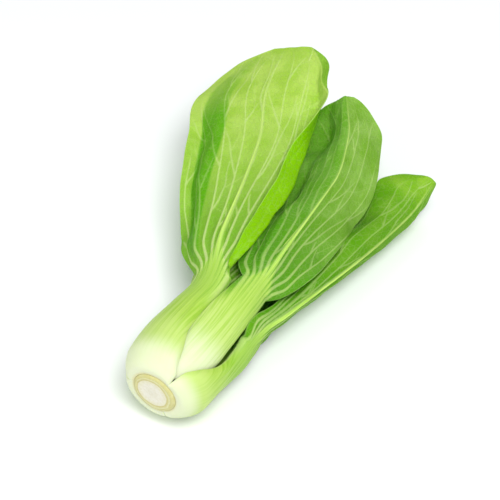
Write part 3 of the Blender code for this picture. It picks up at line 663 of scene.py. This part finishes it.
def mesh_object(name, vertices, faces, attributes, paint):
    mesh = bpy.data.meshes.new(name)
    mesh.vertices.add(len(vertices))
    mesh.vertices.foreach_set("co", np.asarray(vertices, np.float32).ravel())
    corners = np.concatenate([some.ravel() for some in faces]).astype(np.int32)
    sizes = np.concatenate([np.full(len(some), some.shape[1]) for some in faces])
    mesh.loops.add(len(corners))
    mesh.loops.foreach_set("vertex_index", corners)
    mesh.polygons.add(len(sizes))
    mesh.polygons.foreach_set("loop_start", (np.cumsum(sizes) - sizes).astype(np.int32))
    mesh.update(calc_edges=True)
    mesh.validate()
    for label, values in attributes.items():
        mesh.attributes.new(label, "FLOAT", "POINT").data.foreach_set("value", values.astype(np.float32))
    mesh.shade_smooth()
    mesh.materials.append(paint)
    made = bpy.data.objects.new(name, mesh)
    bpy.context.scene.collection.objects.link(made)
    return made


class Paint:
    """A material's node tree, with short names for the nodes that the paints below are made of."""

    def __init__(self, name):
        self.material = bpy.data.materials.new(name)
        self.material.use_nodes = True
        self.tree = self.material.node_tree
        self.tree.nodes.clear()

    def node(self, kind, inputs=(), **settings):
        made = self.tree.nodes.new("ShaderNode" + kind)
        for label, value in settings.items():
            setattr(made, label, value)
        for socket, value in dict(inputs).items():
            self.put(made.inputs[socket], value)
        return made

    def put(self, socket, value):
        if isinstance(value, bpy.types.NodeSocket):
            self.tree.links.new(value, socket)
        elif isinstance(value, tuple) and len(value) == 3 and socket.type == "RGBA":
            socket.default_value = (*value, 1)
        else:
            socket.default_value = value

    def value(self, label):
        return self.node("Attribute", attribute_name=label).outputs["Fac"]

    def maths(self, operation, first, second, clamp=False):
        return self.node(
            "Math", {0: first, 1: second}, operation=operation, use_clamp=clamp
        ).outputs[0]

    def times(self, first, second):
        return self.maths("MULTIPLY", first, second)

    def plus(self, first, second):
        return self.maths("ADD", first, second)

    def minus(self, first, second):
        return self.maths("SUBTRACT", first, second)

    def step(self, value, low, high):
        """0 at low and below, 1 at high and above, smooth between."""
        return self.node(
            "MapRange", {0: value, 1: low, 2: high}, interpolation_type="SMOOTHSTEP"
        ).outputs[0]

    def blend(self, share, first, second, kind="MIX"):
        made = self.node("Mix", {0: share}, data_type="RGBA", blend_type=kind)
        self.put(made.inputs[6], first)
        self.put(made.inputs[7], second)
        return made.outputs[2]

    def tinted(self, first, tint):
        return self.blend(1.0, first, tint, "MULTIPLY")

    def ramp(self, value, stops):
        made = self.node("ValToRGB", {0: value})
        ramp = made.color_ramp
        ramp.interpolation = "EASE"
        while len(ramp.elements) < len(stops):
            ramp.elements.new(1)
        for element, (at, _) in zip(ramp.elements, stops):
            element.position = at
        for element, (_, tone) in zip(ramp.elements, stops):
            element.color = (*colour(*tone), 1)
        return made.outputs["Color"]

    def place(self, across=1.0, along=1.0):
        """Places on the leaf's skin, in mm, stretched as wanted."""
        x = self.times(self.value("sideways"), across)
        y = self.times(self.value("along"), along)
        return self.node("CombineXYZ", {0: x, 1: y, 2: self.value("inner_face")}).outputs[0]

    def noise(self, vector, scale, detail=2.0, roughness=0.5):
        return self.node(
            "TexNoise", {"Vector": vector, "Scale": scale, "Detail": detail, "Roughness": roughness}
        ).outputs[0]

    def net(self, vector, scale):
        """Distance to the nearest cell wall of an uneven net."""
        return self.node(
            "TexVoronoi", {"Vector": vector, "Scale": scale}, feature="DISTANCE_TO_EDGE"
        ).outputs[0]

    def bump(self, height, strength, distance, normal=None):
        inputs = {"Strength": strength, "Distance": distance, "Height": height}
        if normal is not None:
            inputs["Normal"] = normal
        return self.node("Bump", inputs).outputs[0]

    def finish(self, shader):
        self.node("OutputMaterial", {"Surface": shader})
        return self.material


def colour(red, green, blue):
    """A linear colour from the usual 0 to 255 scale."""
    shares = (red / 255, green / 255, blue / 255)
    return tuple(c / 12.92 if c <= 0.04045 else ((c + 0.055) / 1.055) ** 2.4 for c in shares)


STALK_COLOURS = [
    (0.0, (208, 200, 146)), (0.012, (216, 214, 168)), (0.03, (218, 224, 190)),
    (0.17, (214, 224, 180)), (0.36, (186, 211, 116)), (0.60, (174, 205, 90)),
    (1.0, (156, 196, 68)),
]
RIB_COLOUR, VEIN_COLOUR = colour(194, 226, 110), colour(226, 246, 164)
# What these multiply the colour under them by: painted shade in folds, hollows and left halves the
# inner face's, fibres and lines the stalk's, specks the blade's, grain the cut flesh's, and light that
# comes through the leaf's.
PAINTED_SHADE_TINT = (0.40, 0.66, 0.0)
FIBRE_TINT, LINE_TINT, SPECK_TINT = (0.74, 0.87, 0.50), (0.64, 0.82, 0.40), (0.9, 0.95, 0.84)
GRAIN_TINT, THROUGH_TINT = (0.94, 0.92, 0.85), (1.0, 1.0, 0.45)


def leaf_paint(name, greens, greening=1.0, vein_show=0.6, fold_shade_depth=0.5, left_shade=0.0):
    """A leaf's skin: a pale waxy stalk that is greener towards the neck, and a blade with paler veins,
    deeper green on its inner face, and painted shade in its folds, in the hollows between its veins and, if
    wanted, on its left half, with a painted highlight along its margins."""
    light, deep, inner = (colour(*green) for green in greens)
    paint = Paint(name)
    value, place, noise, step = paint.value, paint.place, paint.noise, paint.step
    times, plus, minus, blend, tinted = paint.times, paint.plus, paint.minus, paint.blend, paint.tinted
    stalk, blade, rib = value("stalk"), value("blade"), value("rib")
    vein, inner_face, margin = value("vein"), value("inner_face"), value("margin")
    fibres = noise(place(0.75, 0.02), 1, 3, 0.6)
    patches = noise(place(), 0.07, 3, 0.55)
    specks = noise(place(), 1.7, 3, 0.6)
    cells = step(paint.net(place(1, 0.8), 0.42), 0, 0.09)
    fine_cells = step(paint.net(place(), 1.1), 0, 0.12)

    # The pale skin of the stalk and the ribs, with fibres and fine lines along it.
    pale = paint.ramp(times(stalk, greening), STALK_COLOURS)
    pale = blend(step(blade, 0, 0.2), pale, RIB_COLOUR)
    streak = times(step(fibres, 0.44, 0.62), step(stalk, 0.1, 0.6))
    pale = blend(streak, pale, tinted(pale, FIBRE_TINT))
    lines = step(noise(place(2.2, 0.03), 1, 2), 0.5, 0.66)
    lines = times(times(lines, step(stalk, 0.5, 0.95)), 0.7)
    pale = blend(lines, pale, tinted(pale, LINE_TINT))

    # The blade's green, which is deeper low down and on the inner face, with painted shade in its folds, in
    # the hollows between its veins low down and, where wanted, on its left half.
    green = blend(step(patches, 0.35, 0.65), light, deep)
    green = blend(step(blade, 0.25, 0.9), blend(0.45, green, deep), green)
    # Painted shade: a darkened inner green, laid into the folds, the hollows between veins and the left half.
    painted_shade_green = tinted(inner, PAINTED_SHADE_TINT)
    fold = times(value("fold"), fold_shade_depth)
    green = blend(fold, green, painted_shade_green)
    between_veins = minus(1, times(vein, 0.9))
    # Painted shade in the hollows between the veins, low on the blade.
    painted_hollow_shade = paint.maths("MAXIMUM", value("hollow"), times(between_veins, 0.75))
    painted_hollow_shade = times(painted_hollow_shade, step(blade, 0.7, 0.05))
    green = blend(times(painted_hollow_shade, 0.85), green, painted_shade_green)
    # Painted shade on the left half, which turns away from the light.
    left = times(step(value("sideways"), 1, -4), left_shade)
    green = blend(left, green, painted_shade_green)
    # Towards the tip the inner face is nearly as pale as the outer one.
    tip_pale = minus(1, times(step(blade, 0.62, 0.8), 0.75))
    green = blend(times(inner_face, tip_pale), green, inner)
    net_shade = times(minus(1, cells), 0.13)
    green = blend(net_shade, green, VEIN_COLOUR)
    green = blend(step(specks, 0.3, 0.75), tinted(green, SPECK_TINT), green)

    # The web is where the skin is green and not pale. It starts between the ribs by the neck.
    grooves = times(between_veins, step(blade, -0.02, 0.07))
    kept = minus(1, times(grooves, 0.75))
    off_rib = minus(1, times(step(rib, 0, 0.55), kept))
    opened = times(off_rib, step(blade, 0, 0.05))
    near_neck = times(step(rib, 0.6, 0), step(stalk, 0.66, 1))
    furrows = times(between_veins, step(stalk, 0.66, 1))
    near_neck = times(near_neck, 0.5)
    near_neck = plus(near_neck, times(furrows, 0.55))
    web = paint.maths("MAXIMUM", opened, near_neck)
    inner_faint, fold_faint = times(inner_face, 0.8), times(fold, 0.6)
    faint = paint.maths("MAXIMUM", inner_faint, fold_faint)
    outer_vein = times(vein, paint.maths("SUBTRACT", vein_show, faint, clamp=True))
    skin = blend(web, pale, green)
    skin = blend(times(outer_vein, web), skin, VEIN_COLOUR)
    # A painted highlight: the skin turns pale along the margins.
    skin = blend(times(step(margin, 0.45, 0), 0.35), skin, VEIN_COLOUR)

    # Fibres, the net's cells and specks as a bump; and how matt the skin is.
    fibre_bump = paint.bump(noise(place(2.4, 0.05), 1, 3, 0.6), 0.1, 0.0004)
    height = times(cells, 0.6)
    height = plus(height, times(fine_cells, 0.25))
    height = times(plus(height, times(specks, 0.5)), web)
    normal = paint.bump(height, 0.6, 0.0005, fibre_bump)
    gloss = plus(0.36, times(web, 0.16))
    gloss = minus(gloss, times(inner_face, 0.14))
    gloss = plus(gloss, times(patches, 0.1))
    surface = paint.node("BsdfPrincipled", {
        "Base Color": skin, "Roughness": gloss, "Normal": normal, "Subsurface Weight": 0.18,
        "Subsurface Radius": (1, 1, 0.4), "Subsurface Scale": 0.003, "Specular IOR Level": 0.14,
    }).outputs[0]
    glow = paint.node("BsdfTranslucent", {
        "Color": tinted(skin, THROUGH_TINT), "Normal": normal,
    }).outputs[0]
    through_light = times(web, 0.36)
    return paint.finish(paint.node("MixShader", {0: through_light, 1: surface, 2: glow}).outputs[0])


def stump_paint():
    """Cut flesh: off-white with faint rings and a fine grain, and a tan line where its skin has dried."""
    paint = Paint("cut_flesh")
    out = paint.value("radius")
    place = paint.node("TexCoord").outputs["Object"]
    grain = paint.noise(place, 900.0, 4.0, 0.6)
    blot = paint.noise(place, 220.0, 3.0, 0.55)
    wander = paint.plus(out, paint.times(paint.minus(blot, 0.5), 0.10))
    flesh = paint.ramp(wander, [
        (0.0, (218, 215, 198)), (0.5, (224, 221, 206)), (0.76, (220, 217, 190)),
        (0.83, (196, 188, 122)), (0.89, (206, 202, 144)), (0.96, (214, 214, 166)),
        (1.0, (200, 196, 132)),
    ])
    flesh = paint.blend(paint.step(grain, 0.35, 0.7), flesh, paint.tinted(flesh, GRAIN_TINT))
    normal = paint.bump(paint.plus(grain, blot), 0.5, 0.0004)
    surface = paint.node("BsdfPrincipled", {
        "Base Color": flesh, "Roughness": paint.plus(0.45, paint.times(grain, 0.2)),
        "Normal": normal, "Subsurface Weight": 0.25, "Subsurface Radius": (1.0, 0.9, 0.6),
        "Subsurface Scale": 0.002,
    }).outputs[0]
    return paint.finish(surface)


def floor_paint():
    """A plain pale table top with the faintest unevenness."""
    paint = Paint("pale_table")
    place = paint.node("TexCoord").outputs["Object"]
    cloud = paint.noise(place, 1.2, 2.0, 0.5)
    tone = paint.blend(cloud, colour(246, 249, 248), colour(252, 253, 253))
    surface = paint.node("BsdfPrincipled", {"Base Color": tone, "Roughness": 0.35}).outputs[0]
    return paint.finish(surface)


def turned_arrays(outline, sides, roughness, seed):
    """A solid turned round the head's axis, its cut face slightly uneven, with its share of the radius."""
    random = np.random.RandomState(seed)
    outline = np.array(outline, float)
    reach = np.concatenate([[0], np.cumsum(np.hypot(*np.diff(outline, axis=0).T))])
    outline[(outline[:, 0] > 0) & (outline[:, 0] < FEET_WITHIN), 1] += GROWN_ON
    inner = np.linspace(0.02, 1, FACE_RINGS)[:-1] * outline[0, 1]
    ring = np.linspace(0, reach[-1], SIDE_RINGS)
    along = np.concatenate([np.full(len(inner), outline[0, 0]), np.interp(ring, reach, outline[:, 0])])
    radius = np.concatenate([inner, np.interp(ring, reach, outline[:, 1])])
    angles = np.arange(sides) * 2 * math.pi / sides
    wobble = sum(
        random.uniform(-1, 1) / (1 + k) * np.cos(k * angles + random.uniform(0, 6)) for k in range(2, 9)
    )
    radius = radius[:, None] * (1 + roughness * wobble)
    along = np.repeat(along[:, None], sides, axis=1)
    vertices = np.stack([radius * np.sin(angles), along, radius * np.cos(angles)], axis=-1).reshape(-1, 3)
    grid = np.arange(len(radius) * sides).reshape(len(radius), sides)
    after = np.roll(grid, -1, axis=1)
    quads = np.stack([grid[:-1], after[:-1], after[1:], grid[1:]], axis=-1).reshape(-1, 4)
    # A point in the middle of each end closes it.
    front, back = grid.size, grid.size + 1
    vertices = np.concatenate([vertices, [[0, outline[0, 0], 0], [0, outline[-1, 0], 0]]])
    fans = np.concatenate([
        np.stack([np.full(sides, front), after[0], grid[0]], axis=-1),
        np.stack([grid[-1], after[-1], np.full(sides, back)], axis=-1),
    ])
    off_centre = vertices - np.array(FLESH_CENTRE)
    share = np.hypot(off_centre[:, 0], off_centre[:, 2]) / outline[0, 1]
    on_face = np.arange(len(vertices)) < len(inner) * sides
    on_face[front] = True
    return in_world(vertices), [quads, fans], {"radius": np.where(on_face, np.minimum(share, 1), 1)}


def together(parts):
    """Several sets of vertices, faces and attributes as one."""
    vertices, faces, attributes, count = [], [], {}, 0
    for part_vertices, part_faces, part_attributes in parts:
        vertices.append(part_vertices)
        faces.extend(some + count for some in part_faces)
        count += len(part_vertices)
        for label, values in part_attributes.items():
            attributes.setdefault(label, []).append(values)
    return np.concatenate(vertices), faces, {k: np.concatenate(v) for k, v in attributes.items()}


def dress(piece, node):
    """The piece stands for a CAD node, in the one body that the head has."""
    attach(piece, "root")
    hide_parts(node)


LEAF_SEED, HEART_SEED = 11, 71
HIDDEN_GREENS = ((150, 204, 56), (120, 182, 34), (96, 170, 8))
HEART_GREENS = ((206, 226, 130), (182, 210, 96), (176, 208, 84))


def add_leaves():
    plain = leaf_paint("green_leaf", HIDDEN_GREENS)
    for number, (name, leaf) in enumerate(LEAVES.items()):
        skin = name.replace("leaf", "skin")
        paint = leaf_paint(skin, leaf["greens"], *leaf["shades"]) if "greens" in leaf else plain
        made = leaf_arrays(Leaf(leaf, LEAF_SEED + number))
        dress(mesh_object(skin, *made, paint), name)
    parts = [
        leaf_arrays(Leaf(dict(HEART_LEAF, angle=angle), HEART_SEED + number))
        for number, angle in enumerate(HEART_ANGLES)
    ]
    core, core_faces, _ = turned_arrays(HEART_CORE, sides=32, roughness=0, seed=9)
    parts.append((core, core_faces, {label: np.zeros(len(core)) for label in parts[0][2]}))
    young = leaf_paint("young_leaf", HEART_GREENS)
    dress(mesh_object("heart_leaves", *together(parts), young), "heart")


def add_stump():
    made = turned_arrays(STUMP, sides=128, roughness=0.012, seed=5)
    dress(mesh_object("cut_stump", *made, stump_paint()), "stump")


def add_table():
    mesh = bpy.data.meshes.new("table")
    far = TABLE_REACH
    mesh.from_pydata([(-far, -far, 0), (far, -far, 0), (far, far, 0), (-far, far, 0)], [], [(0, 1, 2, 3)])
    mesh.materials.append(floor_paint())
    table = bpy.data.objects.new("table", mesh)
    bpy.context.scene.collection.objects.link(table)


def add_light(name, place, size, power):
    data = bpy.data.lights.new(name, "AREA")
    data.size = size
    data.energy = power
    light = bpy.data.objects.new(name, data)
    light.location = place
    bpy.context.scene.collection.objects.link(light)
    aim = bpy.data.objects.new(name + "_aim", None)
    aim.location = LIGHTS_AIM
    bpy.context.scene.collection.objects.link(aim)
    track = light.constraints.new("TRACK_TO")
    track.target = aim
    track.track_axis, track.up_axis = "TRACK_NEGATIVE_Z", "UP_Y"


def add_lights():
    world = bpy.data.worlds.new("studio")
    world.use_nodes = True
    sky = world.node_tree.nodes["Background"].inputs
    sky["Color"].default_value, sky["Strength"].default_value = SKY_COLOUR, SKY_STRENGTH
    bpy.context.scene.world = world
    for name, made in LIGHTS.items():
        add_light(name, *made)


def add_camera():
    data = bpy.data.cameras.new("camera")
    data.lens, data.sensor_width = VIEW_LENS, VIEW_SENSOR
    camera = bpy.data.objects.new("camera", data)
    turn, rise = math.radians(VIEW_AZIMUTH), math.radians(VIEW_ELEVATION)
    back = np.array([math.sin(turn) * math.cos(rise), -math.cos(turn) * math.cos(rise), math.sin(rise)])
    camera.location = np.array(VIEW_AT) + VIEW_DISTANCE * back
    camera.rotation_euler = (math.pi / 2 - rise, 0, turn)
    bpy.context.scene.collection.objects.link(camera)
    bpy.context.scene.camera = camera


bpy.context.scene.view_settings.view_transform = "Standard"
add_leaves()
add_stump()
add_table()
add_lights()
add_camera()
